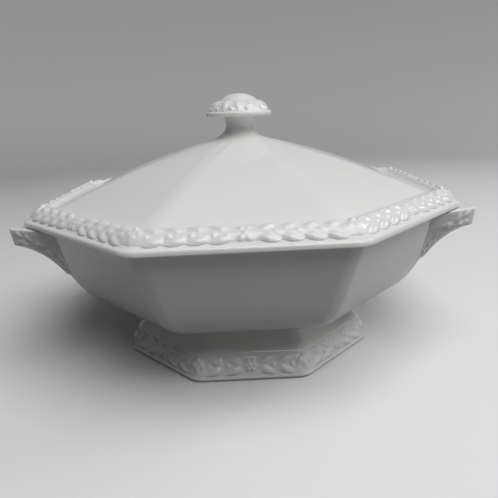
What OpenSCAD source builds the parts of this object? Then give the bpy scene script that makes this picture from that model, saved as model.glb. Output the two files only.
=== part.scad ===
// Octagonal covered tureen: a footed dish with two lug handles, and a lift-off lid with a round knob.
// Origin: centre of the foot on the table. +X runs to the right-hand handle, +Z is up.
// An octagon's size is given across its flats, and its outlines use the apothem, half of that.

/* [Dish] */
// Height of the dish rim above the table
rim_h = 90.3; // [80:0.1:110]
// Distance across the flats at the outside of the rim
rim_af = 239.6; // [200:0.2:280]
// Lean of the dish wall away from upright, at the rim
wall_lean = 22.5; // [12:0.5:30]
// Length over which the wall keeps that lean before it turns under
wall_run = 52; // [35:1:60]
// Length over which the underside runs level before it turns up
floor_run = 38; // [25:1:45]
// Thickness of the dish wall
wall = 5; // [3.5:0.25:7]
// Radius on the edges of the rim
rim_round = 1; // [0.5:0.1:1.5]
// Radius on the corners of the dish, seen from above
dish_corner_r = 12; // [6:0.5:20]

/* [Foot] */
// Height of the foot, up to the underside of the dish
foot_h = 32.2; // [26:0.2:40]
// Distance across the flats at the bottom of the foot
foot_af = 154.6; // [130:0.2:180]
// Distance across the flats where the foot joins the dish
neck_af = 120; // [100:1:130]
// Height of the flared band
band_h = 15; // [11:0.5:20]
// Distance that the band leans in over its height
band_lean = 5.6; // [3:0.2:9]
// Distance from the top of the band, inwards, to the bend of the cove above it
foot_cove_in = 5.6; // [3:0.2:8]
// Distance from the top of the band, upwards, to the bend of the cove above it
foot_cove_up = 6; // [3:0.2:8]
// Radius on the bottom edge of the band
foot_round = 2.4; // [1:0.1:4]
// Thickness of the foot wall
foot_wall = 6; // [4:0.25:8]
// Radius on the corners of the foot, seen from above
foot_corner_r = 10; // [6:0.5:16]

/* [Handles] */
// Distance that each handle reaches past the rim
handle_reach = 12.2; // [8:0.1:20]
// Drop from the rim to the flat top of the handle
handle_drop = 0.3; // [0.3:0.1:3]
// Height of the handle's outer face
handle_tip_h = 10; // [7:0.5:14]
// Distance that the handle's outer face leans in towards its lower edge
handle_tip_lean = 1.2; // [0:0.1:3]
// Depth of the handle down the dish wall, from the rim
handle_depth = 31.6; // [26:0.2:40]
// Step where the handle ends on the dish wall
handle_step = 1; // [0.6:0.1:2]
// Distance that the handle wraps past the corner of the dish wall
handle_wrap = 1.5; // [0.5:0.1:6]
// Radius on the handle's outer corners, seen from above
handle_corner_r = 3; // [2:0.5:10]
// Drop from the handle's outer edge to the bend of the cove under it
cove_drop = 4.7; // [3:0.1:7]
// Distance from the dish wall to the bend of the cove
cove_gap = 3; // [2:0.1:6]
// Radius on the handle's top edge
handle_edge_r = 0.8; // [0.4:0.1:1.5]
// Thickness of the slip that beds the handle on the dish wall
slip_gap = 0.25; // [0.15:0.05:0.4]

/* [Lid] */
// Distance across the flats at the edge of the lid
lid_af = 250; // [210:0.5:290]
// Height of the plain rounded edge
lid_edge_h = 3.2; // [3.2:0.1:6]
// Radius on the lower corner of the lid's edge
lid_low_round = 0.6; // [0.4:0.1:1]
// Radius on the upper corner of the lid's edge
lid_top_round = 2.2; // [1.2:0.1:2.4]
// Width of the border, from the edge to the foot of the facets
border_w = 16; // [13:0.5:24]
// Height of the foot of the facets above the plain edge
border_rise = 3.7; // [2:0.1:6]
// Distance from the foot of the facets out to the crest of the border
riser_w = 4.2; // [3:0.1:7]
// Height of the crest of the border above the foot of the facets
riser_h = 3.5; // [2:0.1:5]
// Distance from the crest at which its rounding begins
crest_round = 2.5; // [1:0.1:3]
// Height of the lid above its edge, up to the flat that carries the knob
lid_rise = 38.9; // [28:0.1:50]
// Diameter of the flat that carries the knob
crown_d = 42; // [36:0.5:60]
// Swell of the facets above a straight line
facet_swell = 2; // [1:0.1:5]
// Thickness of the lid
lid_wall = 4.8; // [3.5:0.1:6]
// Radius on the corners of the lid, seen from above
lid_corner_r = 12; // [6:0.5:20]
// Clearance between the lid and the dish rim at rest
seat_gap = 0.3; // [0.2:0.05:0.5]
// Depth of the locating collar under the lid
collar_h = 7; // [4:0.5:12]
// Thickness of the locating collar
collar_wall = 4; // [3:0.25:6]
// Clearance between the collar and the dish wall
collar_gap = 1.5; // [1:0.1:3]

/* [Knob] */
// Diameter of the knob's lip
knob_d = 40.6; // [34:0.2:50]
// Height of the lip
lip_h = 3; // [1.2:0.1:4]
// Diameter of the stem at its narrowest
stem_d = 16.6; // [12:0.2:20]
// Height of the stem, from the lid to the underside of the lip
stem_h = 14.9; // [13:0.1:22]
// Height of the stem's narrowest point
waist_h = 9.9; // [7:0.1:12]
// Diameter of the flared base of the stem
base_d = 42; // [32:0.5:42]
// Height of the flare at the base of the stem
base_rise = 3.2; // [1.5:0.1:5]
// Diameter of the stem where it meets the underside of the lip
stem_top_d = 21; // [18:0.5:26]
// Height of the flare at the top of the stem
stem_top_rise = 1.2; // [0.6:0.1:2.5]
// Height of the sloping shoulder that carries the relief ring
shoulder_h = 7; // [4:0.1:9]
// Diameter of the smooth dome
dome_d = 23; // [18:0.5:28]
// Height of the dome above the shoulder
dome_h = 3.9; // [3:0.1:8]
// Distance that the side of the dome leans in before it turns over
dome_lean = 3.8; // [0.6:0.1:5]

/* [Relief] */
// Height of the relief on the lid border
lid_relief = 1.7; // [1:0.1:3]
// Height of the relief on the foot band
foot_relief = 1.5; // [0.8:0.1:2.5]
// Height of the relief on the knob
knob_relief = 1.6; // [0.8:0.1:2]
// Number of bosses along each side of the lid border
lid_bosses = 9; // [3:1:12]
// Number of bosses along each side of the foot band
foot_bosses = 5; // [3:1:8]
// Number of bosses around the knob
knob_bosses = 14; // [8:1:24]
// Share of a relief band's height that carries on between its bosses
relief_floor = 0.33; // [0.2:0.01:0.6]
// Margin between a relief band and the edge of its ground
relief_margin = 1.2; // [0.6:0.1:2]
// Width of the plain strip between the lid's edge and its relief band
border_plain = 1.2; // [0.8:0.1:4]
// Width of the plain strip below the relief band on the foot
band_plain = 2; // [1.2:0.1:4]

/* [Hidden] */
porcelain = "whitesmoke";
relief_white = "white";

// Facets: steps on a corner, steps along a curve, steps across a relief band, samples on one boss
corner_n = 4;
curve_n = 12;
relief_n = 4;
boss_n = 4;
round_n = 3;
$fn = 96;

// Octagon: half the angle of one side
half_side = 22.5;
side_angle = 2 * half_side;

// Dish
rim_a = rim_af / 2;
neck_a = neck_af / 2;
rim_outer = [rim_a, rim_h - rim_round];
wall_curve = curve3([neck_a, foot_h], [neck_a + floor_run, foot_h],
                    rim_outer - wall_run * [sin(wall_lean), cos(wall_lean)], rim_outer);
inner_curve = offset_curve(wall_curve, wall);

// Foot
foot_a = foot_af / 2;
band_top = [foot_a - band_lean, band_h];
band_foot = [foot_a, foot_round];
neck = [neck_a, foot_h];

// Handles
handle_tip_a = rim_a + handle_reach;
handle_top_z = rim_h - handle_drop;
handle_tip_z = handle_top_z - handle_tip_h;
handle_low_z = rim_h - handle_depth;
handle_root_x = wall_a(handle_low_z) - dish_corner_r * tan(half_side) * cos(side_angle) - handle_wrap;

// Lid
lid_a = lid_af / 2;
lid_z = rim_h + seat_gap;
collar_a = inner_a(rim_h - collar_h) - collar_gap;
hollow_a = collar_a - collar_wall;
crown = [crown_d / 2, lid_z + lid_rise];
border_outer = [lid_a - lid_top_round, lid_z + lid_edge_h];
border_inner = [lid_a - border_w, lid_z + lid_edge_h + border_rise];
riser = [riser_w, riser_h];
border_crest = border_inner + riser;
border_run = (border_crest - border_outer) / norm(border_crest - border_outer);
crest_arm = min(crest_round, norm(riser) / 2);
crest_outer = border_crest - crest_arm * border_run;
crest_inner = border_crest - crest_arm * riser / norm(riser);
facet_chord = crown - border_inner;
facet_normal = [-facet_chord.y, facet_chord.x] / norm(facet_chord) * -1;
facet_mid = (crown + border_inner) / 2 + 2 * facet_swell * facet_normal;
facet_curve = curve2(border_inner, facet_mid, crown);
facet_under = offset_curve(facet_curve, lid_wall);

// Knob
knob_z = crown.y;
lip_z = knob_z + stem_h;
lip = [knob_d / 2, lip_z];
shoulder_low = lip + [-lip_h / 2, lip_h];
shoulder_top = [dome_d / 2, lip_z + lip_h + shoulder_h];

function dir(angle) = [cos(angle), sin(angle)];

// Quadratic and cubic curves as points
function curve2(p, c, q, n = curve_n) =
  [for (i = [0 : n]) let (t = i / n) (1 - t) * (1 - t) * p + 2 * t * (1 - t) * c + t * t * q];
function curve3(p, c, d, q, n = curve_n) =
  [for (i = [0 : n]) let (t = i / n)
    pow(1 - t, 3) * p + 3 * t * pow(1 - t, 2) * c + 3 * t * t * (1 - t) * d + pow(t, 3) * q];

// Quarter-round from p to q with its corner at c
function round_edge(p, c, q) = curve2(p, c, q, round_n);

// The same curve moved to its left-hand side by d, point by point
function offset_curve(pts, d) =
  [for (i = [0 : len(pts) - 1])
    let (run = pts[min(i + 1, len(pts) - 1)] - pts[max(i - 1, 0)])
    pts[i] + d * [-run.y, run.x] / norm(run)];

function reversed(pts) = [for (i = [len(pts) - 1 : -1 : 0]) pts[i]];

// Apothem of the dish wall at height z, outside and inside
function wall_a(z) = lookup(z, [for (p = wall_curve) [p.y, p.x]]);
function inner_a(z) = lookup(z, [for (p = inner_curve) [p.y, p.x]]);

// Rounded octagon of apothem a, with n steps along each side
function octagon(a, r, n = 1) =
  [for (k = [0 : 7])
    let (out = dir(side_angle * k))
    let (along = dir(side_angle * k + 90))
    let (half = (a - r) * tan(half_side))
    let (hub = (a - r) / cos(half_side) * dir(side_angle * k + half_side))
    each concat(
      [for (i = [0 : n]) a * out + half * (2 * i / n - 1) * along],
      [for (j = [1 : corner_n - 1]) hub + r * dir(side_angle * (k + j / corner_n))])];

// Swelling at sample i of a row of bosses, 0 between bosses and 1 on top, and the lift that it gives
function boss_swell(i) = abs(sin(180 * i / boss_n));
function boss_lift(swell) = relief_floor + (1 - relief_floor) * swell;

// Swelling at each point of an octagon with a row of bosses on each side
function side_swell(bosses) =
  [for (k = [0 : 7]) each concat(
    [for (i = [0 : bosses * boss_n]) boss_swell(i)],
    [for (j = [1 : corner_n - 1]) 0])];

function ring(p, r) = [for (q = octagon(p.x, min(r, p.x))) [q.x, q.y, p.y]];

// Profile points across a relief band on the ground from p to q, as [point, lift]
function band_section(p, q, height) =
  let (n = [-(q - p).y, (q - p).x] / norm(q - p) * -1)
  [for (i = [0 : relief_n]) let (t = i / relief_n) [p + t * (q - p), height * sqrt(sin(180 * t)) * n]];

// One ring of a relief band on an octagon, lifted off its ground point by point
function relief_ring(section, r, bosses) =
  let (base = octagon(section[0].x, r, bosses * boss_n))
  let (swell = side_swell(bosses))
  [for (i = [0 : len(base) - 1])
    let (lift = boss_lift(swell[i]) * section[1])
    let (out = base[i] / norm(base[i]))
    [base[i].x + lift.x * out.x, base[i].y + lift.x * out.y, section[0].y + lift.y]];

// Closed skin over a list of rings with equal counts. A loop joins its last ring to its first.
// Ends are single faces, or strips between the two halves of a ring that bends round something
module skin(rings, loop = false, strip_ends = false) {
  n = len(rings[0]);
  m = len(rings);
  sides = [for (i = [0 : loop ? m - 1 : m - 2], j = [0 : n - 1])
    let (a = i * n + j)
    let (b = i * n + (j + 1) % n)
    let (c = (i + 1) % m * n + (j + 1) % n)
    let (d = (i + 1) % m * n + j)
    each [[a, c, b], [a, d, c]]];
  first_end = strip_ends
    ? [for (i = [0 : n / 2 - 2]) [i, i + 1, n - 2 - i, n - 1 - i]]
    : [[for (j = [0 : n - 1]) j]];
  last_end = [for (face = first_end) [for (j = reversed(face)) (m - 1) * n + j]];
  ends = concat(first_end, last_end);
  polyhedron([for (r = rings) each r], loop ? sides : concat(sides, ends), convexity = 8);
}

module bowl() {
  inner_top = inner_curve[curve_n];
  rim_inner = [inner_top.x, rim_h];
  profile = concat(
    wall_curve,
    [[rim_a - rim_round, rim_h], rim_inner + [rim_round, 0]],
    reversed([for (p = inner_curve) if (p.y < rim_h - rim_round) p]));
  color(porcelain) skin([for (p = profile) ring(p, dish_corner_r)]);
}

module foot() {
  inner_neck = neck - [foot_wall, 0];
  profile = concat(
    round_edge([foot_a - foot_round, 0], [foot_a, 0], band_foot),
    curve2(band_top, band_top + [-foot_cove_in, foot_cove_up], neck),
    curve2(inner_neck, [inner_neck.x, band_h], [foot_a - foot_wall - foot_round, 0]));
  color(porcelain) skin([for (p = profile) ring(p, foot_corner_r)], loop = true);
}

// One level of a handle on the +X side: inner edge on the dish wall, outer edge at apothem tip_a
function handle_level(tip_a, z) =
  let (a = wall_a(z) + slip_gap)
  let (root = [handle_root_x, (a - handle_root_x * cos(side_angle)) / sin(side_angle)])
  let (tip = tip_a * [1, tan(half_side)])
  let (cut = min(handle_corner_r, norm(root - tip) / 2))
  let (upper = round_edge(tip - [0, cut], tip, tip + cut * (root - tip) / norm(root - tip)))
  let (hub = (a - dish_corner_r) / cos(half_side) * dir(half_side))
  let (bend = [for (j = [0 : corner_n]) hub + dish_corner_r * dir(side_angle * (1 - j / corner_n))])
  let (half = concat(upper, [root], bend))
  [for (p = concat(reversed([for (q = concat(upper, [root])) [q.x, -q.y]]), half,
                   reversed([for (q = bend) [q.x, -q.y]]))) [p.x, p.y, z]];

module handle() {
  low = [wall_a(handle_low_z) + slip_gap + handle_step, handle_low_z];
  bend_z = handle_tip_z - cove_drop;
  bend = [wall_a(bend_z) + cove_gap, bend_z];
  tip = [handle_tip_a - handle_tip_lean, handle_tip_z];
  top = [handle_tip_a, handle_top_z];
  side = concat(curve2(low, bend, tip), round_edge(top - [0, handle_edge_r], top, top - [handle_edge_r, 0]));
  color(porcelain) skin([for (p = side) handle_level(p.x, p.y)], strip_ends = true);
}

module handle_right() handle();

module handle_left() mirror([1, 0, 0]) handle();

module foot_relief_band() {
  run = (band_top - band_foot) / norm(band_top - band_foot);
  low = band_foot + band_plain * run;
  high = band_top - relief_margin * run;
  rings = [for (s = band_section(low, high, foot_relief)) relief_ring(s, foot_corner_r, foot_bosses)];
  color(relief_white) skin(rings, loop = true);
}

module lid() {
  edge_low = [lid_a, lid_z];
  low_round = round_edge(edge_low - [lid_low_round, 0], edge_low, edge_low + [0, lid_low_round]);
  edge_top = [lid_a, border_outer.y];
  top_round = round_edge(edge_top - [0, lid_top_round], edge_top, border_outer);
  crest_curve = round_edge(crest_outer, border_crest, crest_inner);
  profile = concat(
    reversed(facet_under), [[hollow_a, lid_z]], low_round, top_round, crest_curve, facet_curve);
  color(porcelain) skin([for (p = profile) ring(p, lid_corner_r)]);
}

module lid_collar() {
  low_z = lid_z - collar_h;
  profile = [
    [collar_a - rim_round, low_z], [collar_a, low_z + rim_round], [collar_a, lid_z],
    [hollow_a, lid_z], [hollow_a, low_z + rim_round], [hollow_a + rim_round, low_z]];
  color(porcelain) skin([for (p = profile) ring(p, dish_corner_r)], loop = true);
}

module lid_relief_band() {
  low = border_outer + border_plain * border_run;
  rings = [for (s = band_section(low, crest_outer, lid_relief)) relief_ring(s, lid_corner_r, lid_bosses)];
  color(relief_white) skin(rings, loop = true);
}

module knob() {
  stem_r = stem_d / 2;
  waist = [stem_r, knob_z + waist_h];
  top = [0, shoulder_top.y + dome_h];
  dome_bend = [dome_d / 2 - dome_lean, top.y];
  profile = concat(
    [[0, knob_z]],
    curve2([base_d / 2, knob_z], [stem_r, knob_z + base_rise], waist),
    curve2(waist, [stem_r, lip_z - stem_top_rise], [stem_top_d / 2, lip_z]),
    round_edge(lip - [lip_h / 2, 0], lip, lip + [0, lip_h / 2]),
    round_edge(lip + [0, lip_h / 2], lip + [0, lip_h], shoulder_low),
    curve2(shoulder_top, dome_bend, top));
  color(porcelain) rotate_extrude() polygon(profile);
}

module knob_relief_ring() {
  run = (shoulder_top - shoulder_low) / norm(shoulder_top - shoulder_low);
  steps = knob_bosses * boss_n;
  low = shoulder_low + relief_margin * run;
  high = shoulder_top - relief_margin * run;
  rings = [for (s = band_section(low, high, knob_relief))
    [for (i = [0 : steps - 1])
      let (lift = boss_lift(boss_swell(i)) * s[1])
      let (q = (s[0].x / cos(180 / steps) + lift.x) * dir(360 * i / steps))
      [q.x, q.y, s[0].y + lift.y]]];
  color(relief_white) skin(rings, loop = true);
}

bowl();
foot();
foot_relief_band();
handle_left();
handle_right();
lid();
lid_collar();
lid_relief_band();
knob();
knob_relief_ring();
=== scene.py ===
from math import cos, pi, radians, sin, tan

import bmesh
import bpy
from mathutils import Matrix, Vector
from mathutils.geometry import interpolate_bezier


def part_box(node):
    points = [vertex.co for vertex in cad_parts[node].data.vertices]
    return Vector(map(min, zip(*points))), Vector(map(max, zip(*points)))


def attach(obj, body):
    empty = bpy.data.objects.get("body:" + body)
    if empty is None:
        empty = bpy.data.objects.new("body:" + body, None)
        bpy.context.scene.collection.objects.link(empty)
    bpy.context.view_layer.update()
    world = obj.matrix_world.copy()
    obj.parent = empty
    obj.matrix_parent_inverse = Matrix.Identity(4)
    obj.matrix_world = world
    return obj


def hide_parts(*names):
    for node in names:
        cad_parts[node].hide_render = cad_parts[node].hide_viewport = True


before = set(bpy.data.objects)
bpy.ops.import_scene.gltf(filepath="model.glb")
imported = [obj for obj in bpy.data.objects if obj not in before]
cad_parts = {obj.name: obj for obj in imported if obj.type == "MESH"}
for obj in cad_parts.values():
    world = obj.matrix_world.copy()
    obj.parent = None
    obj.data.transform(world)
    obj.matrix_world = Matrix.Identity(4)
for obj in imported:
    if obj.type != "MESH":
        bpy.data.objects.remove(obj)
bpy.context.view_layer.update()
mm = 0.001
weld = 0.001 * mm  # points closer than this are one point
hair = 0.01 * mm  # a length below this counts as none
octagon = {
    "sides": 8,
    "cornerSteps": 6,
    "mostRound": 0.9,  # largest rounding of a corner, as a share of the ring's own size
}
halfSide = pi / octagon["sides"]  # half the angle that one side takes up
wholeSide = 2 * halfSide
print("frame loaded:", len(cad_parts), "nodes")


# outlines: points are (distance from the middle, height), distance measured to a flat side

def pt(out, up):
    return Vector((out, up))


def upright(point):  # a point of an outline, stood up in the XZ plane
    return Vector((point.x, 0, point.y))


def bend(start, pull, settle, end, steps):  # smooth stretch, both ends included
    return [Vector(p) for p in interpolate_bezier(start, pull, settle, end, steps + 1)]


def softBend(start, corner, end, steps):  # stretch that leaves and arrives along the lines to one corner
    return bend(start, start.lerp(corner, 2 / 3), end.lerp(corner, 2 / 3), end, steps)


def between(start, end, steps):  # points of a straight stretch, both ends left out
    return [start.lerp(end, i / steps) for i in range(1, steps)]


def beside(outline, gap):  # the same stretch, moved to its left
    moved = []
    last = len(outline) - 1
    for i, point in enumerate(outline):
        run = (outline[min(i + 1, last)] - outline[max(i - 1, 0)]).normalized()
        moved.append(point + gap * pt(-run.y, run.x))
    return moved


def heightAt(outline, out):  # height of a stretch at a distance from the middle
    for near, far in zip(outline, outline[1:]):
        if min(near.x, far.x) <= out <= max(near.x, far.x):
            return near.y + (far.y - near.y) * (out - near.x) / (far.x - near.x)
    return outline[-1].y


def outAt(outline, up):  # distance from the middle of a stretch at a height
    return heightAt([p.yx for p in outline], up)


# shapes

def neighbours(row, loop):
    return zip(row, row[1:] + row[:1] if loop else row[1:])


def drawOutline(bm, points, loop):
    verts = [bm.verts.new(p) for p in points]
    return verts, [bm.edges.new(pair) for pair in neighbours(verts, loop)]


def closeEnds(bm):
    bmesh.ops.holes_fill(bm, edges=[e for e in bm.edges if e.is_boundary], sides=0)
    bmesh.ops.recalc_face_normals(bm, faces=bm.faces)


def bridged(bm, rings, loop=False):  # closed skin over a row of rings
    for near, far in neighbours(rings, loop):
        bmesh.ops.bridge_loops(bm, edges=near + far)
    closeEnds(bm)


def octagonRing(bm, point, cornerRound):  # eight flat sides with rounded corners between them
    known = set(bm.edges)
    where = Matrix.Translation((0, 0, point.y)) @ Matrix.Rotation(halfSide, 4, "Z")
    corners = bmesh.ops.create_circle(bm, segments=octagon["sides"], radius=point.x / cos(halfSide),
                                      matrix=where)["verts"]
    cut = min(cornerRound, octagon["mostRound"] * point.x) * tan(halfSide)
    bmesh.ops.bevel(bm, geom=corners, offset=cut, offset_type="OFFSET", affect="VERTICES",
                    segments=octagon["cornerSteps"], profile=0.5, material=-1)
    return [e for e in bm.edges if e not in known]


def octagonTurn(outline, cornerRound, loop=False):
    bm = bmesh.new()
    bridged(bm, [octagonRing(bm, p, cornerRound) for p in outline], loop)
    return bm


def spun(outline, steps, loop=False):
    bm = bmesh.new()
    verts, edges = drawOutline(bm, [upright(p) for p in outline], loop)
    bmesh.ops.spin(bm, geom=verts + edges, cent=(0, 0, 0), axis=(0, 0, 1), angle=2 * pi, steps=steps,
                   use_merge=True)
    bmesh.ops.remove_doubles(bm, verts=bm.verts, dist=weld)
    return bm


def roundTurn(outline, steps, loop=False):
    bm = spun(outline, steps, loop)
    closeEnds(bm)
    return bm


def roundOff(bm, edges, offset, segments):
    bmesh.ops.bevel(bm, geom=edges, offset=offset, offset_type="OFFSET", affect="EDGES",
                    segments=segments, profile=0.5, material=-1, clamp_overlap=True)


def addObject(name, data):
    made = bpy.data.objects.new(name, data)
    bpy.context.scene.collection.objects.link(made)
    return made


def smoothObject(name, bm, material):
    mesh = bpy.data.meshes.new(name)
    bm.to_mesh(mesh)
    bm.free()
    mesh.polygons.foreach_set("use_smooth", [True] * len(mesh.polygons))
    mesh.materials.append(material)
    return addObject(name, mesh)


def showPiece(name, bm, material, body, slot, *nodes):
    piece = smoothObject(name, bm, material)
    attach(piece, body)
    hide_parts(*nodes)
    print("made", name, len(piece.data.polygons), "faces")
    return piece


def keepFlatsFlat(piece):  # shading turns on the rounded corners, not on the flat sides
    piece.modifiers.new("flatSides", "WEIGHTED_NORMAL")


# finishes

glaze = {
    "body": (0.83, 0.83, 0.815, 1),
    "pool": (0.66, 0.70, 0.675, 1),  # where the glaze gathers
    "bisque": (0.74, 0.72, 0.67, 1),  # where there is none
    "cloud": (28.0, 2.0),  # scale and detail of the broad drift in the thickness of the glaze
    "wave": (60.0, 1.0),  # slow waves in the fired surface
    "peel": (650.0, 1.0),  # fine skin of the glaze
    "drift": (0.22, -0.06),  # gain and start of what the cloud does to the colour
    "shine": (0.05, 0.07),  # and to the roughness
    "bareRoughness": 0.45,
    "peelShare": 0.12,
    "rippleHeight": 0.35 * mm,
    "rippleStrength": 0.06,
    "ior": 1.52,
    "glow": 0.25,
    "glowRadius": (1.0, 0.9, 0.8),
    "glowDepth": 1.2 * mm,
    "bareFade": 0.3 * mm,
}


def glazeGroup():
    group = bpy.data.node_groups.new("glazeSkin", "ShaderNodeTree")
    for name in ("Body", "Pool", "Bisque"):
        group.interface.new_socket(name, in_out="INPUT", socket_type="NodeSocketColor")
    for name in ("Hollow", "Bare"):
        group.interface.new_socket(name, in_out="INPUT", socket_type="NodeSocketFloat")
    for name, kind in (("Color", "NodeSocketColor"), ("Roughness", "NodeSocketFloat"),
                       ("Height", "NodeSocketFloat")):
        group.interface.new_socket(name, in_out="OUTPUT", socket_type=kind)
    nodes = group.nodes
    links = group.links
    inside = nodes.new("NodeGroupInput")
    outside = nodes.new("NodeGroupOutput")
    place = nodes.new("ShaderNodeTexCoord")

    def noise(scale, detail):
        made = nodes.new("ShaderNodeTexNoise")
        made.inputs["Scale"].default_value = scale
        made.inputs["Detail"].default_value = detail
        links.new(place.outputs["Object"], made.inputs["Vector"])
        return made.outputs["Fac"]

    def sums(kind, *values):
        made = nodes.new("ShaderNodeMath")
        made.operation = kind
        for socket, value in zip(made.inputs, values):
            if isinstance(value, float):
                socket.default_value = value
            else:
                links.new(value, socket)
        return made.outputs[0]

    def mixed(share, first, second):
        made = nodes.new("ShaderNodeMix")
        made.data_type = "RGBA"
        links.new(share, made.inputs["Factor"])
        links.new(first, made.inputs["A"])
        links.new(second, made.inputs["B"])
        return made.outputs["Result"]

    bare = inside.outputs["Bare"]
    cloud = noise(*glaze["cloud"])
    wave = noise(*glaze["wave"])
    peel = noise(*glaze["peel"])
    drift = sums("MULTIPLY_ADD", cloud, *glaze["drift"])
    pooled = sums("ADD", inside.outputs["Hollow"], drift)
    pooled.node.use_clamp = True
    glazed = mixed(pooled, inside.outputs["Body"], inside.outputs["Pool"])
    shine = sums("MULTIPLY_ADD", cloud, *glaze["shine"])
    links.new(mixed(bare, glazed, inside.outputs["Bisque"]), outside.inputs["Color"])
    links.new(sums("MULTIPLY_ADD", bare, glaze["bareRoughness"], shine), outside.inputs["Roughness"])
    links.new(sums("MULTIPLY_ADD", peel, glaze["peelShare"], wave), outside.inputs["Height"])
    return group


glazeSkin = glazeGroup()


def glazeMaterial(name, hollows=False, bareBelow=None):
    material = bpy.data.materials.new(name)
    material.use_nodes = True
    nodes = material.node_tree.nodes
    links = material.node_tree.links
    shader = nodes["Principled BSDF"]
    shader.inputs["IOR"].default_value = glaze["ior"]
    shader.inputs["Subsurface Weight"].default_value = glaze["glow"]
    shader.inputs["Subsurface Radius"].default_value = glaze["glowRadius"]
    shader.inputs["Subsurface Scale"].default_value = glaze["glowDepth"]
    skin = nodes.new("ShaderNodeGroup")
    skin.node_tree = glazeSkin
    for socket in ("Body", "Pool", "Bisque"):
        skin.inputs[socket].default_value = glaze[socket.lower()]
    if hollows:
        hollow = nodes.new("ShaderNodeAttribute")
        hollow.attribute_name = "hollow"
        links.new(hollow.outputs["Fac"], skin.inputs["Hollow"])
    if bareBelow is not None:  # unglazed where the piece stands
        place = nodes.new("ShaderNodeTexCoord")
        split = nodes.new("ShaderNodeSeparateXYZ")
        ramp = nodes.new("ShaderNodeMapRange")
        ramp.inputs["From Min"].default_value = bareBelow
        ramp.inputs["From Max"].default_value = bareBelow + glaze["bareFade"]
        ramp.inputs["To Min"].default_value = 1
        ramp.inputs["To Max"].default_value = 0
        links.new(place.outputs["Object"], split.inputs[0])
        links.new(split.outputs["Z"], ramp.inputs["Value"])
        links.new(ramp.outputs["Result"], skin.inputs["Bare"])
    bump = nodes.new("ShaderNodeBump")
    bump.inputs["Strength"].default_value = glaze["rippleStrength"]
    bump.inputs["Distance"].default_value = glaze["rippleHeight"]
    links.new(skin.outputs["Height"], bump.inputs["Height"])
    links.new(bump.outputs["Normal"], shader.inputs["Normal"])
    links.new(skin.outputs["Color"], shader.inputs["Base Color"])
    links.new(skin.outputs["Roughness"], shader.inputs["Roughness"])
    return material


plainGlaze = glazeMaterial("plainGlaze")
reliefGlaze = glazeMaterial("reliefGlaze", hollows=True)
footGlaze = glazeMaterial("footGlaze", bareBelow=0.4 * mm)
print("finishes ready")


# relief: bay leaves, berries and small rosettes on a low swelling, run together as one moulded skin

leafShape = {
    "around": 10,
    "along": 8,
    "taper": 0.25,  # width lost towards the tip
    "blunt": 1.02,  # above 1, so that the ends keep some width
    "fullness": 0.3,  # lower is fuller
    "tipDrop": 0.45,  # height lost towards the tip
    "groove": 0.35,  # height lost along the middle
    "grooveHalf": 0.01,
    "keel": 1.2 * mm,  # depth under the ground
}


def leaf(bm, where, length, width, height):  # base at the origin, tip towards +x
    shape = leafShape
    made = bmesh.ops.create_uvsphere(bm, u_segments=shape["around"], v_segments=shape["along"],
                                     radius=1)["verts"]
    for vert in made:
        up, side, along = vert.co
        slim = (1 - shape["taper"] * along) * (shape["blunt"] - along * along) ** shape["fullness"]
        thick = height * (1 - shape["tipDrop"] * max(along, 0))
        if abs(side) < shape["grooveHalf"]:
            thick *= 1 - shape["groove"]
        crest = thick * up * up if up > 0 else shape["keel"] * up
        vert.co = ((along + 1) * length / 2, side * slim * width / 2, crest)
    bmesh.ops.transform(bm, matrix=where, verts=made)


berryShape = {"around": 10, "along": 6}


def berry(bm, where, radius):
    made = bmesh.ops.create_uvsphere(bm, u_segments=berryShape["around"], v_segments=berryShape["along"],
                                     radius=radius)["verts"]
    bmesh.ops.transform(bm, matrix=where, verts=made)


rosetteShape = {  # shares of its reach, and of its height for eyeRise
    "petals": 6,
    "start": 0.15,
    "length": 0.9,
    "width": 0.75,
    "eye": 0.28,
    "eyeRise": 0.25,
}


def rosette(bm, where, reach, height):
    shape = rosetteShape
    for i in range(shape["petals"]):
        turn = Matrix.Rotation(2 * pi * i / shape["petals"], 4, "Z")
        base = where @ turn @ Matrix.Translation((reach * shape["start"], 0, 0))
        leaf(bm, base, reach * shape["length"], reach * shape["width"], height)
    berry(bm, where @ Matrix.Translation((0, 0, height * shape["eyeRise"])), reach * shape["eye"])


def surfaceFrame(origin, along, normal):  # x along, z out of the surface
    z = normal.normalized()
    x = (along - along.dot(z) * z).normalized()
    y = z.cross(x)
    return Matrix(((x.x, y.x, z.x, origin.x), (x.y, y.y, z.y, origin.y),
                   (x.z, y.z, z.z, origin.z), (0, 0, 0, 1)))


def turnedFrame(angle, origin, along, normal):  # the same, turned about the middle of the tureen
    turn = Matrix.Rotation(angle, 3, "Z")
    return surfaceFrame(turn @ origin, turn @ along, turn @ normal)


def sideFrame(k, low, high):  # on the middle of side k of a band whose ground runs from low to high
    run = high - low
    return turnedFrame(wholeSide * k, upright(low.lerp(high, 0.5)), Vector((0, 1, 0)),
                       Vector((run.y, 0, -run.x)))


def cornerFrame(k, low, high, cornerRound):  # on the rounded corner after side k, x down the mitre
    ground = low.lerp(high, 0.5)
    run = high - low
    out = 1 / cos(halfSide)
    reach = (ground.x - cornerRound) * out + cornerRound
    return turnedFrame(wholeSide * (k + 0.5), Vector((reach, 0, ground.y)), Vector((-run.x * out, 0, -run.y)),
                       Vector((run.y, 0, -run.x * out)))


def leafPair(bm, where, heads, lean, apart, size):  # two leaves from one joint of the stem
    for side in (1, -1):
        turn = Matrix.Rotation(side * lean if heads > 0 else pi - side * lean, 4, "Z")
        leaf(bm, where @ Matrix.Translation((0, side * apart, 0)) @ turn, *size)


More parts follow.
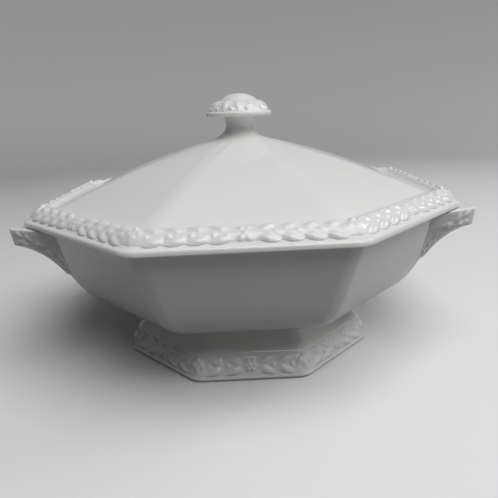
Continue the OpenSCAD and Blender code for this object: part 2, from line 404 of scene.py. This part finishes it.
def garlandSide(bm, where, plan):  # from a rosette in the middle of a side towards both corners
    rosette(bm, where, plan["rosette"], plan["leafHeight"])
    size = plan["leafLength"], plan["leafWidth"], plan["leafHeight"]
    for heads in (1, -1):
        ahead = Matrix.Translation((heads * plan["berryAhead"], 0, plan["berryRise"]))
        for i in range(plan["pairs"]):
            joint = where @ Matrix.Translation((heads * (plan["start"] + i * plan["pitch"]), 0, 0))
            leafPair(bm, joint, heads, plan["lean"], plan["apart"], size)
            berry(bm, joint @ ahead, plan["berry"])


cornerShape = {  # shares of the middle leaf
    "back": 0.5,
    "tall": 1.15,
    "spread": radians(42),
    "sideLength": 0.8,
    "sideWidth": 0.6,
}


def garlandCorner(bm, where, plan):  # three leaves over the mitre, with a berry where they meet
    shape = cornerShape
    length, width, height = plan["cornerLength"], plan["cornerWidth"], plan["leafHeight"]
    base = where @ Matrix.Translation((-length * shape["back"], 0, 0))
    leaf(bm, base, length, width, height * shape["tall"])
    for side in (1, -1):
        turn = Matrix.Rotation(side * shape["spread"], 4, "Z")
        leaf(bm, base @ turn, length * shape["sideLength"], width * shape["sideWidth"], height)
    berry(bm, base @ Matrix.Translation((0, 0, plan["berryRise"])), plan["berry"])


def bandEdges(low, high, margin):
    run = (high - low).normalized()
    return low + margin[0] * run, high - margin[1] * run


def bandNormal(low, high):
    return pt(high.y - low.y, low.x - high.x).normalized()


def swelling(low, high, plan, steps=14):  # closed section of a low roll on the ground from low to high
    normal = bandNormal(low, high)
    rise = [plan["rise"] * sin(pi * i / steps) ** plan["fullness"] for i in range(steps + 1)]
    roll = [low.lerp(high, i / steps) + rise[i] * normal for i in range(steps + 1)]
    return roll + [high - plan["sunk"] * normal, low - plan["sunk"] * normal]


pooling = {
    "passes": 14,  # how much softer the copy is that tells where the hollows are
    "gain": 1.2,
}


def soften(bm, passes):
    for _ in range(passes):
        bmesh.ops.smooth_vert(bm, verts=bm.verts, factor=0.5,
                              use_axis_x=True, use_axis_y=True, use_axis_z=True)


def markHollows(bm, voxel):  # where a much softer copy lies above the surface, glaze gathers
    softer = bm.copy()
    soften(softer, pooling["passes"])
    bm.normal_update()
    hollow = bm.verts.layers.float.new("hollow")
    softer.verts.ensure_lookup_table()
    for vert in bm.verts:
        depth = (softer.verts[vert.index].co - vert.co).dot(vert.normal) / voxel
        vert[hollow] = min(max(depth * pooling["gain"], 0), 1)
    softer.free()


def moulded(bm, plan):  # one skin over all the shapes, softened like glazed relief
    rough = bpy.data.meshes.new("rough")
    bm.to_mesh(rough)
    bm.free()
    holder = addObject("rough", rough)
    remesh = holder.modifiers.new("oneSkin", "REMESH")
    remesh.mode = "VOXEL"
    remesh.voxel_size = plan["voxel"]
    ready = holder.evaluated_get(bpy.context.evaluated_depsgraph_get())
    fused = bpy.data.meshes.new_from_object(ready)
    skin = bmesh.new()
    skin.from_mesh(fused)
    bpy.data.objects.remove(holder)
    bpy.data.meshes.remove(rough)
    bpy.data.meshes.remove(fused)
    soften(skin, plan["softness"])
    markHollows(skin, plan["voxel"])
    return skin


# dish

bowlLow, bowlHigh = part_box("bowl")
bowl = {
    "wall": 5 * mm,
    "wallLean": radians(22.5),
    "wallRun": 52 * mm,
    "floorRun": 38 * mm,
    "neck": 60 * mm,
    "rimRound": 1.2 * mm,
    "middle": 16 * mm,
    "dip": 0.1 * mm,  # the rim is crowned by this much and the floor dished
    "cornerRound": 12 * mm,
}


def bowlWall():
    rim = pt(bowlHigh.x, bowlHigh.z - bowl["rimRound"])
    neck = pt(bowl["neck"], bowlLow.z)
    lean = pt(sin(bowl["wallLean"]), cos(bowl["wallLean"]))
    return bend(neck, neck + pt(bowl["floorRun"], 0), rim - bowl["wallRun"] * lean, rim, steps=28)


outerWall = bowlWall()


def makeBowl():
    inner = beside(outerWall, bowl["wall"])
    rim = bowlHigh.z
    dip = bowl["dip"]
    inside = [p for p in inner if p.y < rim - bowl["rimRound"]]
    inEdge = pt(outAt(inner, rim - bowl["rimRound"]), rim - dip)
    outEdge = pt(outerWall[-1].x, rim - dip)
    ease = pt(bowl["rimRound"], 0)
    outline = [pt(bowl["middle"], bowlLow.z + dip)] + outerWall
    outline += softBend(outerWall[-1], outEdge, outEdge - ease, steps=4)[1:]
    outline.append(pt((inEdge.x + outEdge.x) / 2, rim))
    outline += softBend(inEdge + ease, inEdge, inside[-1], steps=4)
    outline += inside[-2::-1] + [pt(bowl["middle"], inside[0].y - dip)]
    bm = octagonTurn(outline, bowl["cornerRound"])
    keepFlatsFlat(showPiece("dishBowl", bm, plainGlaze, "dish", "porcelain", "bowl"))


makeBowl()

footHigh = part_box("foot")[1]
foot = {
    "bandHeight": 15 * mm,
    "bandLean": 5.6 * mm,
    "coveIn": 5.6 * mm,
    "coveUp": 6 * mm,
    "bottomRound": 2.4 * mm,
    "wall": 6 * mm,
    "ridgeEase": 0.7 * mm,
    "intoBowl": 1 * mm,
    "cornerRound": 10 * mm,
}
bandLow = pt(footHigh.x, foot["bottomRound"])
bandHigh = pt(footHigh.x - foot["bandLean"], foot["bandHeight"])


def makeFoot():
    neck = pt(bowl["neck"], footHigh.z)
    stand = pt(footHigh.x, 0)
    into = pt(0, foot["intoBowl"])
    coveBend = bandHigh + pt(-foot["coveIn"], foot["coveUp"])
    cove = softBend(bandHigh, coveBend, neck, steps=16)
    upBand = (bandHigh - bandLow).normalized()
    innerNeck = neck - pt(foot["wall"], 0)
    innerFoot = pt(footHigh.x - foot["wall"] - foot["bottomRound"], 0)
    outline = softBend(stand - pt(foot["bottomRound"], 0), stand, bandLow, steps=5)
    outline += softBend(bandHigh - foot["ridgeEase"] * upBand, bandHigh, cove[1], steps=4)
    outline += cove[2:] + [neck + into, innerNeck + into]
    outline += softBend(innerNeck, pt(innerNeck.x, foot["bandHeight"]), innerFoot, steps=14)
    bm = octagonTurn(outline, foot["cornerRound"], loop=True)
    keepFlatsFlat(showPiece("dishFoot", bm, footGlaze, "dish", "porcelain", "foot"))


makeFoot()

footGarland = {
    "margin": (1.2 * mm, 1.5 * mm),
    "rise": 0.55 * mm,
    "fullness": 1.2,
    "sunk": 1.0 * mm,
    "seat": 0.1 * mm,
    "rosette": 4.2 * mm,
    "pairs": 2,
    "start": 4.6 * mm,
    "pitch": 10.6 * mm,
    "lean": radians(24),
    "apart": 0.7 * mm,
    "leafLength": 11.2 * mm,
    "leafWidth": 5.2 * mm,
    "leafHeight": 1.5 * mm,
    "berry": 1.35 * mm,
    "berryAhead": 8.4 * mm,
    "berryRise": 0.0 * mm,
    "cornerLength": 8.2 * mm,
    "cornerWidth": 5.2 * mm,
    "voxel": 0.5 * mm,
    "softness": 3,
}


def makeGarland(name, low, high, plan, cornerRound, body, node):
    low, high = bandEdges(low, high, plan["margin"])
    bm = octagonTurn(swelling(low, high, plan), cornerRound, loop=True)
    normal = bandNormal(low, high)
    low, high = low + plan["seat"] * normal, high + plan["seat"] * normal
    for k in range(octagon["sides"]):
        garlandSide(bm, sideFrame(k, low, high), plan)
        garlandCorner(bm, cornerFrame(k, low, high, cornerRound), plan)
    showPiece(name, moulded(bm, plan), reliefGlaze, body, "porcelain_relief", node)


makeGarland("footRelief", bandLow, bandHigh, footGarland, foot["cornerRound"], "dish", "foot_relief_band")

handleLow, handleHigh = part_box("handle_right")
handle = {
    "tipHeight": 10 * mm,
    "tipLean": 1.2 * mm,
    "tipSteps": 4,
    "step": 1 * mm,
    "coveDrop": 4.7 * mm,
    "coveGap": 3 * mm,
    "wrap": 1.5 * mm,
    "tipRound": 1.98 * mm,
    "edgeRound": 0.6 * mm,
    "crispFrom": radians(30),  # edges sharper than this are rounded
    "sunk": 2.2 * mm,
    "voxel": 0.55 * mm,
    "softness": 2,
}
handleRoot = (outAt(outerWall, handleLow.z) - bowl["cornerRound"] * tan(halfSide) * cos(wholeSide)
              - handle["wrap"])


def handleSection():  # outer edge of the handle from its top down to its lower end, as on its end face
    top = pt(handleHigh.x, handleHigh.z)
    tip = pt(top.x - handle["tipLean"], top.y - handle["tipHeight"])
    bendUp = tip.y - handle["coveDrop"]
    coveBend = pt(outAt(outerWall, bendUp) + handle["coveGap"], bendUp)
    low = pt(outAt(outerWall, handleLow.z) + handle["step"], handleLow.z)
    return [top] + between(top, tip, handle["tipSteps"]) + softBend(tip, coveBend, low, steps=14)


handleEdge = handleSection()


def wallAt(up):  # distance of the bowl's wall from the middle, also just above its rim
    return outAt(outerWall, min(up, outerWall[-1].y))


def handleSide(up):  # ends of the handle's flank at one level, on the wall and at the tip
    out = outAt(handleEdge, up)
    root = Vector((handleRoot, wallAt(up) / cos(wholeSide) - handleRoot, up))
    return root, Vector((out, out * tan(halfSide), up))


def handleRing(up):  # one level of the right handle, tip corners first and last
    root, tip = handleSide(up)
    inWall = wallAt(up) - handle["sunk"]
    rootIn = Vector((root.x - handle["sunk"], inWall / cos(wholeSide) - root.x + handle["sunk"], up))
    cornerIn = Vector((inWall, inWall * tan(halfSide), up))
    half = [tip, root, rootIn, cornerIn]
    return half + [Vector((p.x, -p.y, p.z)) for p in reversed(half)]


flankSpray = {  # leaf pairs up the flank and out to the tip: place across, height, leaf length
    "joints": ((0.50, 61.5 * mm, 5.4 * mm), (0.50, 66.0 * mm, 6.4 * mm), (0.50, 71.2 * mm, 7.4 * mm),
               (0.51, 76.6 * mm, 7.8 * mm), (0.58, 81.4 * mm, 7.6 * mm), (0.71, 84.4 * mm, 6.4 * mm)),
    "end": (0.90, 85.0 * mm),
    "feel": (0.1, 1 * mm),  # how far across and up the slope of the flank is felt for
    "lean": radians(33),
    "apart": 0.5 * mm,
    "slim": 0.46,
    "leafHeight": 0.85 * mm,
}


def onFlank(across, up):
    root, tip = handleSide(up)
    return root.lerp(tip, across)


def addFlankSpray(bm, side):  # side is 1 on the +y flank
    plan = flankSpray
    flip = Matrix.Diagonal((1, side, 1))
    aside, rise = plan["feel"]
    spots = [onFlank(across, up) for across, up, _ in plan["joints"]] + [onFlank(*plan["end"])]
    for i, (across, up, length) in enumerate(plan["joints"]):
        rootward, tipward = onFlank(across - aside, up), onFlank(across + aside, up)
        normal = (tipward - rootward).cross(onFlank(across, up - rise) - onFlank(across, up + rise))
        outward = normal if normal.y > 0 else -normal
        joint = surfaceFrame(flip @ spots[i], flip @ (spots[i + 1] - spots[i]), flip @ outward)
        size = length, length * plan["slim"], plan["leafHeight"]
        leafPair(bm, joint, 1, plan["lean"], plan["apart"], size)


endGarland = {
    "middle": 5.2 * mm,
    "rosette": 3.7 * mm,
    "pairs": 5,
    "start": 3.9 * mm,
    "pitch": 7.4 * mm,
    "lean": radians(27),
    "apart": 0.5 * mm,
    "leafLength": 8.0 * mm,
    "leafWidth": 3.6 * mm,
    "leafHeight": 1.2 * mm,
    "berry": 1.0 * mm,
    "berryAhead": 6.1 * mm,
    "berryRise": 0.1 * mm,
}


def addEndGarland(bm):
    top, tip = handleEdge[0], handleEdge[handle["tipSteps"]]
    spot = top.lerp(tip, endGarland["middle"] / handle["tipHeight"])
    lean = tip - top
    middle = surfaceFrame(upright(spot), Vector((0, 1, 0)), Vector((-lean.y, 0, lean.x)))
    garlandSide(bm, middle, endGarland)


def isTipEdge(edge):  # an edge that runs down one of the two outer corners
    for vert in edge.verts:
        if abs(abs(vert.co.y) - abs(vert.co.x) * tan(halfSide)) > hair or abs(vert.co.x) < wallAt(vert.co.z):
            return False
    return abs(edge.verts[0].co.z - edge.verts[1].co.z) > hair


def isCrispEdge(edge):  # a sharp edge that stands clear of the bowl
    clear = min(v.co.to_2d().length for v in edge.verts) > outAt(outerWall, handleHigh.z)
    return clear and edge.is_manifold and edge.calc_face_angle() > handle["crispFrom"]


def makeHandle(name, side, node):
    bm = bmesh.new()
    bridged(bm, [drawOutline(bm, handleRing(p.y), True)[1] for p in handleEdge])
    roundOff(bm, [e for e in bm.edges if isTipEdge(e)], handle["tipRound"], segments=5)
    roundOff(bm, [e for e in bm.edges if isCrispEdge(e)], handle["edgeRound"], segments=4)
    addFlankSpray(bm, 1)
    addFlankSpray(bm, -1)
    addEndGarland(bm)
    if side < 0:
        bmesh.ops.rotate(bm, verts=bm.verts, cent=(0, 0, 0), matrix=Matrix.Rotation(pi, 3, "Z"))
    bmesh.ops.recalc_face_normals(bm, faces=bm.faces)
    showPiece(name, moulded(bm, handle), reliefGlaze, "dish", "porcelain", node)


makeHandle("handleRight", 1, "handle_right")
makeHandle("handleLeft", -1, "handle_left")

# lid

lidLow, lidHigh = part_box("lid")
collarLow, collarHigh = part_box("lid_collar")
lid = {
    "edgeHeight": 3.2 * mm,
    "lowRound": 0.6 * mm,
    "topRound": 2.2 * mm,
    "borderWidth": 16 * mm,
    "borderRise": 3.7 * mm,
    "riserWidth": 4.2 * mm,
    "riserHeight": 3.5 * mm,
    "crestRound": 2.5 * mm,
    "valleyShare": 0.45,
    "crown": 21 * mm,
    "crownGrowth": 1.02,
    "crownEnd": (4 * mm, 0.3 * mm),  # how far in and up the skin goes on under the knob
    "facetSwell": 2 * mm,
    "wall": 4.8 * mm,
    "collarWall": 4 * mm,
    "cornerRound": 12 * mm,
    "roundFrom": 52 * mm,
}
borderOuter = pt(lidHigh.x - lid["topRound"], lidLow.z + lid["edgeHeight"])
borderInner = pt(lidHigh.x - lid["borderWidth"], borderOuter.y + lid["borderRise"])
borderCrest = borderInner + pt(lid["riserWidth"], lid["riserHeight"])


def lidFacet():
    crown = pt(lid["crown"], lidHigh.z)
    chord = crown - borderInner
    swell = 2 * lid["facetSwell"] * pt(chord.y, -chord.x).normalized()
    return softBend(borderInner, borderInner.lerp(crown, 0.5) + swell, crown, steps=30)


facet = lidFacet()


def roundTheCrown(bm):  # the facets run out into a round shape under the knob
    sides = [Vector((cos(wholeSide * k), sin(wholeSide * k))) for k in range(octagon["sides"])]
    for vert in bm.verts:
        flat = vert.co.to_2d()
        out = max(flat.dot(side) for side in sides)
        share = min(max((lid["roundFrom"] - out) / (lid["roundFrom"] - lid["crown"]), 0), 1)
        share = share * share * (3 - 2 * share)
        grown = 1 + share * (out * lid["crownGrowth"] / flat.length - 1)
        vert.co.x *= grown
        vert.co.y *= grown


def makeLid():
    under = beside(facet, lid["wall"])
    seat = lidLow.z
    lowEdge = pt(lidHigh.x, seat)
    topEdge = pt(lidHigh.x, borderOuter.y)
    low = lid["lowRound"]
    crestOuter = borderCrest + lid["crestRound"] * (borderOuter - borderCrest).normalized()
    crestInner = borderCrest + lid["crestRound"] * (borderInner - borderCrest).normalized()
    valley = borderInner.lerp(borderCrest, lid["valleyShare"])
    crownIn, crownUp = lid["crownEnd"]
    outline = under[::-1] + [pt(collarHigh.x - lid["collarWall"], seat)]
    outline += softBend(lowEdge - pt(low, 0), lowEdge, lowEdge + pt(0, low), steps=4)
    outline += softBend(topEdge - pt(0, lid["topRound"]), topEdge, borderOuter, steps=7)
    outline += between(borderOuter, crestOuter, steps=4)
    outline += softBend(crestOuter, borderCrest, crestInner, steps=8)
    outline += softBend(valley, borderInner, facet[1], steps=6) + facet[2:]
    outline += [pt(lid["crown"] - crownIn, lidHigh.z + crownUp)]
    bm = octagonTurn(outline, lid["cornerRound"])
    roundTheCrown(bm)
    keepFlatsFlat(showPiece("lidShell", bm, plainGlaze, "cover", "porcelain", "lid"))


makeLid()

collar = {"edgeRound": 1.2 * mm, "intoLid": 1 * mm}


def makeCollar():
    low = collarLow.z
    top = collarHigh.z + collar["intoLid"]
    out = collarHigh.x
    hollow = out - lid["collarWall"]
    ease = collar["edgeRound"]
    outline = softBend(pt(out - ease, low), pt(out, low), pt(out, low + ease), steps=4)
    outline += [pt(out, top), pt(hollow, top)]
    outline += softBend(pt(hollow, low + ease), pt(hollow, low), pt(hollow + ease, low), steps=4)
    bm = octagonTurn(outline, bowl["cornerRound"], loop=True)
    keepFlatsFlat(showPiece("lidCollar", bm, plainGlaze, "cover", "porcelain", "lid_collar"))


makeCollar()

lidGarland = {
    "margin": (1.5 * mm, 1.8 * mm),
    "rise": 1.25 * mm,
    "fullness": 1.2,
    "sunk": 1.2 * mm,
    "seat": 0.2 * mm,
    "rosette": 5.0 * mm,
    "pairs": 4,
    "start": 4.6 * mm,
    "pitch": 9.7 * mm,
    "lean": radians(20),
    "apart": 1.0 * mm,
    "leafLength": 11.8 * mm,
    "leafWidth": 5.2 * mm,
    "leafHeight": 1.5 * mm,
    "berry": 1.7 * mm,
    "berryAhead": 8.8 * mm,
    "berryRise": -0.1 * mm,
    "cornerLength": 9.4 * mm,
    "cornerWidth": 6.4 * mm,
    "voxel": 0.54 * mm,
    "softness": 4,
}
makeGarland("lidRelief", borderOuter, borderCrest, lidGarland, lid["cornerRound"], "cover", "lid_relief_band")

knobLow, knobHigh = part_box("knob")
knob = {
    "around": 96,
    "root": ((25 * mm, 0.6 * mm), (22.5 * mm, 0.12 * mm)),  # radius and depth of two rings in the lid
    "waistRadius": 8.3 * mm,
    "waistHeight": 9.9 * mm,
    "stemHeight": 14.9 * mm,
    "stemTop": 10.5 * mm,
    "stemTopRise": 1.2 * mm,
    "skirt": 21 * mm,
    "baseRise": 3.2 * mm,
    "lipHeight": 3 * mm,
    "shoulderHeight": 7 * mm,
    "dome": 11.5 * mm,
    "domeLean": 3.8 * mm,
}
lipUp = knobLow.z + knob["stemHeight"]
shoulderLow = pt(knobHigh.x - knob["lipHeight"] / 2, lipUp + knob["lipHeight"])
shoulderHigh = pt(knob["dome"], shoulderLow.y + knob["shoulderHeight"])


def makeKnob():
    waist = pt(knob["waistRadius"], knobLow.z + knob["waistHeight"])
    skirt = pt(knob["skirt"], knobLow.z)
    stemTop = pt(knob["stemTop"], lipUp)
    lip = pt(knobHigh.x, lipUp)
    half = knob["lipHeight"] / 2
    crown = pt(0, knobHigh.z)
    outline = [pt(out, heightAt(facet, out / lid["crownGrowth"]) - depth) for out, depth in knob["root"]]
    outline += softBend(skirt, pt(waist.x, skirt.y + knob["baseRise"]), waist, steps=18)
    outline += softBend(waist, pt(waist.x, lipUp - knob["stemTopRise"]), stemTop, steps=10)[1:]
    outline += [lip - pt(half * 2, 0)] + softBend(lip - pt(half, 0), lip, lip + pt(0, half), steps=5)
    outline += softBend(lip + pt(0, half), lip + pt(0, half * 2), shoulderLow, steps=4)[1:]
    outline += between(shoulderLow, shoulderHigh, steps=4)
    outline += softBend(shoulderHigh, pt(knob["dome"] - knob["domeLean"], crown.y), crown, steps=14)
    showPiece("lidKnob", roundTurn(outline, knob["around"]), plainGlaze, "cover", "porcelain", "knob")


makeKnob()

knobWreath = {
    "around": 84,
    "leaves": 12,
    "margin": (0.2 * mm, 0.7 * mm),
    "rise": 0.8 * mm,
    "fullness": 1.1,
    "sunk": 0.9 * mm,
    "lift": 0.2 * mm,
    "leafLength": 9.8 * mm,
    "leafWidth": 6.2 * mm,
    "leafHeight": 1.5 * mm,
    "berry": 1.2 * mm,
    "berryPlace": 0.2,  # share of the way up the shoulder
    "voxel": 0.34 * mm,
    "softness": 4,
}


def makeKnobWreath():
    plan = knobWreath
    low, high = bandEdges(shoulderLow, shoulderHigh, plan["margin"])
    run = high - low
    lift = Matrix.Translation((0, 0, plan["lift"]))

    def onShoulder(place, spot):  # x down the slope
        return turnedFrame(2 * pi * place / plan["leaves"], upright(spot), Vector((-run.x, 0, -run.y)),
                           Vector((run.y, 0, -run.x))) @ lift

    bm = roundTurn(swelling(low, high, plan), plan["around"], loop=True)
    for i in range(plan["leaves"]):  # a leaf down the slope, then a berry in the gap beside it
        leaf(bm, onShoulder(i, high), plan["leafLength"], plan["leafWidth"], plan["leafHeight"])
        berry(bm, onShoulder(i + 0.5, low.lerp(high, plan["berryPlace"])), plan["berry"])
    showPiece("knobRelief", moulded(bm, plan), reliefGlaze, "cover", "porcelain_relief", "knob_relief_ring")


makeKnobWreath()


# stage, light and camera

stage = {
    "around": 64,
    "floorRadius": 1.1,
    "wallRadius": 1.7,
    "sweepHeight": 0.7,
    "wallHeight": 1.6,
    "color": (0.9, 0.9, 0.895, 1),
    "bounce": (0.13, 0.13, 0.13, 1),
    "roughness": 0.9,
    "gloss": 0.1,
}


def paleMaterial():
    material = bpy.data.materials.new("paleFloor")
    material.use_nodes = True
    nodes = material.node_tree.nodes
    links = material.node_tree.links
    shader = nodes["Principled BSDF"]
    shader.inputs["Roughness"].default_value = stage["roughness"]
    shader.inputs["Specular IOR Level"].default_value = stage["gloss"]
    rays = nodes.new("ShaderNodeLightPath")  # pale to look at, but it throws little light back up
    seen = rays.outputs["Is Camera Ray"]
    for kind in ("Is Glossy Ray", "Is Transmission Ray"):
        either = nodes.new("ShaderNodeMath")
        either.operation = "MAXIMUM"
        links.new(seen, either.inputs[0])
        links.new(rays.outputs[kind], either.inputs[1])
        seen = either.outputs[0]
    tone = nodes.new("ShaderNodeMix")
    tone.data_type = "RGBA"
    tone.inputs["A"].default_value = stage["bounce"]
    tone.inputs["B"].default_value = stage["color"]
    links.new(seen, tone.inputs["Factor"])
    links.new(tone.outputs["Result"], shader.inputs["Base Color"])
    return material


def makeStage():
    wall = stage["wallRadius"]
    sweep = softBend(pt(stage["floorRadius"], 0), pt(wall, 0), pt(wall, stage["sweepHeight"]), steps=14)
    bm = spun([pt(0, 0)] + sweep + [pt(wall, stage["wallHeight"])], stage["around"])
    bmesh.ops.recalc_face_normals(bm, faces=bm.faces)
    floor = smoothObject("paleFloor", bm, paleMaterial())


makeStage()

lamps = (
    {"name": "overhead", "place": (0.36, -0.65, 1.4), "size": 1.25, "power": 17.9},
    {"name": "sideWindow", "place": (0.97, -0.32, 0.56), "size": 1.0, "power": 1.65},
    {"name": "smallWindow", "place": (1.1, 0.2, 0.95), "size": 0.36, "power": 2.1},  # glints on the relief
)
lampTarget = Vector((0, 0, 0.07))
room = {"Color": (0.9, 0.93, 1.0, 1), "Strength": 0.15}


def makeLamps():
    for lamp in lamps:
        light = bpy.data.lights.new(lamp["name"], "AREA")
        light.size = lamp["size"]
        light.energy = lamp["power"]
        holder = addObject(lamp["name"], light)
        holder.location = lamp["place"]
        holder.rotation_euler = (lampTarget - holder.location).to_track_quat("-Z", "Y").to_euler()
    world = bpy.data.worlds.new("softRoom")
    world.use_nodes = True
    for socket, value in room.items():
        world.node_tree.nodes["Background"].inputs[socket].default_value = value
    bpy.context.scene.world = world


makeLamps()

view = {
    "place": (-0.74 * mm, -317.78 * mm, 149.48 * mm),
    "focalPixels": 479.32,
    "imagePixels": 498,
    "sensor": 36,
    "nearest": 0.01,
    "swing": radians(-0.64),
    "pitch": radians(16.47),
    "roll": radians(-2.53),
}


def makeCamera():
    camera = bpy.data.cameras.new("photoView")
    camera.sensor_width = view["sensor"]
    camera.lens = view["sensor"] * view["focalPixels"] / view["imagePixels"]
    camera.clip_start = view["nearest"]
    level = cos(view["pitch"])
    forward = Vector((-sin(view["swing"]) * level, cos(view["swing"]) * level, -sin(view["pitch"])))
    turned = forward.to_track_quat("-Z", "Y").to_matrix() @ Matrix.Rotation(view["roll"], 3, "Z")
    holder = addObject("photoView", camera)
    holder.matrix_world = Matrix.Translation(view["place"]) @ turned.to_4x4()
    bpy.context.scene.camera = holder


makeCamera()
bpy.context.scene.view_settings.view_transform = "Standard"
print("stage, light and camera ready")
